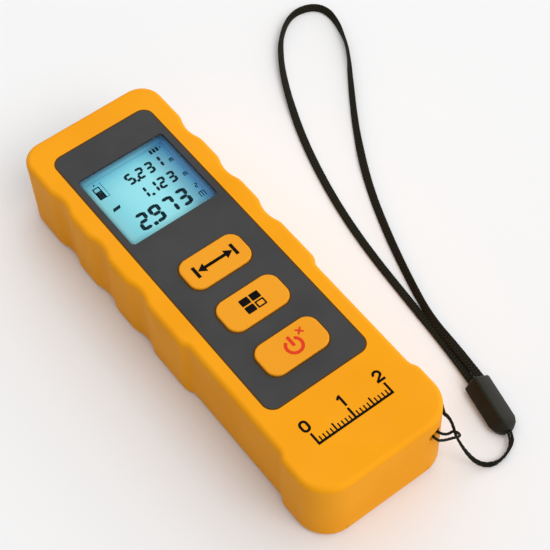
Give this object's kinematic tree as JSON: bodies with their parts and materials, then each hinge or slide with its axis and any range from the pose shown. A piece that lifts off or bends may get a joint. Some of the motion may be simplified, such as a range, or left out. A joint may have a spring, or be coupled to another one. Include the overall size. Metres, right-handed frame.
{
  "type": "laser distance meter",
  "caption": "Pocket laser distance meter: grooved handheld casing with display, push keys, laser window, sliding battery cover and a wrist strap through a corner eye.",
  "frame": {"origin": "middle of the casing's footprint, on the surface that its back lies on", "axes": "+X to the right of the display, +Y towards the laser end, +Z out of the display"},
  "size_m": [0.1002, 0.1375, 0.0226],
  "materials": {
    "casing": "fine satin texture",
    "key": "soft satin",
    "plunger": "plain",
    "panel": "fine matte",
    "adhesive": "matt film",
    "window": "clear polished",
    "foam": "foam",
    "frame": "plain",
    "display": "pale blue, lit from behind",
    "light_guide": "frosted",
    "contact_rubber": "striped",
    "switch": "pressed",
    "board": "solder mask",
    "component": "moulded",
    "chassis": "anti-glare",
    "lens": "polished",
    "sensor": "plain",
    "barrel": "turned",
    "flex": "film",
    "front_plate": "polished",
    "optic_window": "tinted, polished",
    "cell": "foil sleeve",
    "contact": "plated",
    "screw": "zinc plated",
    "joiner": "soft moulded",
    "strap": "flat woven braid",
    "tether": "fine round braid"
  },
  "bodies": {
    "casing": {"front_housing": "casing", "rear_housing": "casing", "face_panel": "panel", "panel_adhesive": "adhesive", "display_window": "window", "display_gasket": "foam", "display_frame": "frame", "display_glass": "display", "backlight_plate": "light_guide", "contact_strip": "contact_rubber", "key_switches": "switch", "main_board": "board", "microcontroller": "component", "board_components": "component", "buzzer": "component", "optical_chassis": "chassis", "receiver_lens": "lens", "lens_ring": "chassis", "receiver_board": "board", "receiver_sensor": "sensor", "laser_barrel": "barrel", "laser_lens": "lens", "laser_diode": "barrel", "laser_flex": "flex", "front_plate": "front_plate", "laser_window": "optic_window", "receiver_window": "optic_window", "battery_left": "cell", "battery_right": "cell", "battery_springs": "contact", "battery_plates": "contact", "housing_screws": "screw", "board_screws": "screw", "chassis_screws": "screw", "strap_joiner": "joiner", "strap_loop": "strap", "strap_tether": "tether"},
    "measure_key": {"measure_button": "key", "measure_plunger": "plunger"},
    "mode_key": {"mode_button": "key", "mode_plunger": "plunger"},
    "power_key": {"power_button": "key", "power_plunger": "plunger"},
    "cover": {"battery_cover": "casing", "cover_foam_pad": "foam"}
  },
  "joints": [
    {"name": "measure_press", "type": "slide", "parent": "casing", "child": "measure_key", "axis": [0, 0, -1], "range_m": [0, 0.0005], "stiffness_N_per_m": 1500, "springref_m": -0.0002},
    {"name": "mode_press", "type": "slide", "parent": "casing", "child": "mode_key", "axis": [0, 0, -1], "range_m": [0, 0.0005], "stiffness_N_per_m": 1500, "springref_m": -0.0002},
    {"name": "power_press", "type": "slide", "parent": "casing", "child": "power_key", "axis": [0, 0, -1], "range_m": [0, 0.0005], "stiffness_N_per_m": 1500, "springref_m": -0.0002},
    {"name": "cover_slide", "type": "slide", "parent": "casing", "child": "cover", "axis": [0, -1, 0], "range_m": [0, 0.052]}
  ]
}
